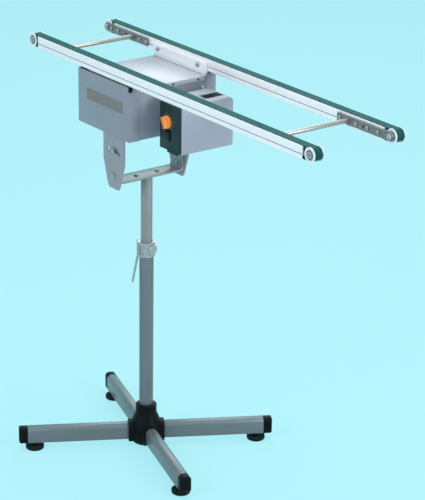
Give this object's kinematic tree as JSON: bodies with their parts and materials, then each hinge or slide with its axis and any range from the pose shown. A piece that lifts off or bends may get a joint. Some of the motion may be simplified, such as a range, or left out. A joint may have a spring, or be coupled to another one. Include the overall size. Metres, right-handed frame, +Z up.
{
  "type": "twin timing belt conveyor on a telescopic stand",
  "caption": "Timing belt conveyor with parallel belts on aluminium rails, a drive housing and a speed control, tilting on a telescopic column with a cross foot.",
  "frame": {"origin": "on the floor, under the middle of the belts", "axes": "+X along the belts, from the column's end to the far end; +Y across the belts, from the control panel's side to the other; +Z up"},
  "size_m": [1.0034, 0.5164, 0.9272],
  "materials": {
    "rail": "bright anodised extrusion",
    "belt": "dark green polyurethane, matte back",
    "pulley": "turned aluminium",
    "bar": "brushed steel",
    "bolt": "bright zinc plate",
    "rod": "hard chrome",
    "rail_plate": "pale satin paint",
    "side_plate": "grey-blue satin paint",
    "housing": "grey-blue satin paint",
    "plug": "black rubber",
    "motor_mount": "cast aluminium",
    "control_box": "pale grey-blue satin paint",
    "control_panel": "dark green-black moulded plastic",
    "speed_knob": "orange plastic",
    "power_switch": "black plastic",
    "vent": "black moulded grille",
    "yoke": "zinc-plated sheet",
    "upper_tube": "ground steel tube",
    "lower_tube": "grey metallic paint",
    "collar": "polished die casting",
    "clamp_knob": "chromed knob",
    "hub": "black moulded plastic",
    "leg": "grey metallic paint",
    "leg_cap": "black moulded plastic",
    "foot": "black rubber"
  },
  "bodies": {
    "base": {"lower_tube": "lower_tube", "clamp_collar": "collar", "clamp_knob": "clamp_knob", "clamp_lever": "bolt", "hub": "hub", "leg_1": "leg", "leg_2": "leg", "leg_3": "leg", "leg_4": "leg", "leg_cap_1": "leg_cap", "leg_cap_2": "leg_cap", "leg_cap_3": "leg_cap", "leg_cap_4": "leg_cap", "foot_1": "foot", "foot_2": "foot", "foot_3": "foot", "foot_4": "foot"},
    "mast": {"yoke": "yoke", "clamp_bolt_front": "bolt", "clamp_bolt_rear": "bolt", "upper_tube": "upper_tube"},
    "head": {"rail_front": "rail", "rail_rear": "rail", "belt_front": "belt", "belt_rear": "belt", "pulley_front_left": "pulley", "pulley_front_right": "pulley", "pulley_rear_left": "pulley", "pulley_rear_right": "pulley", "bar_front_left": "bar", "bar_front_right": "bar", "bar_rear_left": "bar", "bar_rear_right": "bar", "axle_front_left": "bolt", "axle_front_right": "bolt", "axle_rear_left": "bolt", "axle_rear_right": "bolt", "cross_rod_left": "rod", "cross_rod_right": "rod", "rail_plate_front": "rail_plate", "rail_plate_rear": "rail_plate", "side_plate_front": "side_plate", "side_plate_rear": "side_plate", "drive_housing": "housing", "top_plate": "housing", "front_cover": "housing", "rear_cover": "housing", "cover_plug": "plug", "motor_mount": "motor_mount", "control_box": "control_box", "control_panel": "control_panel", "speed_knob": "speed_knob", "power_switch": "power_switch", "vent_insert": "vent", "pivot_bolt_front": "bolt", "pivot_bolt_rear": "bolt"}
  },
  "joints": [
    {"name": "mast_height", "type": "slide", "parent": "base", "child": "mast", "axis": [0, 0, 1], "range_m": [-0.14, 0.1]},
    {"name": "head_tilt", "type": "hinge", "parent": "mast", "child": "head", "pos_m": [-0.206, 0, 0.668], "axis": [0, 1, 0], "range_deg": [-20, 20]}
  ]
}
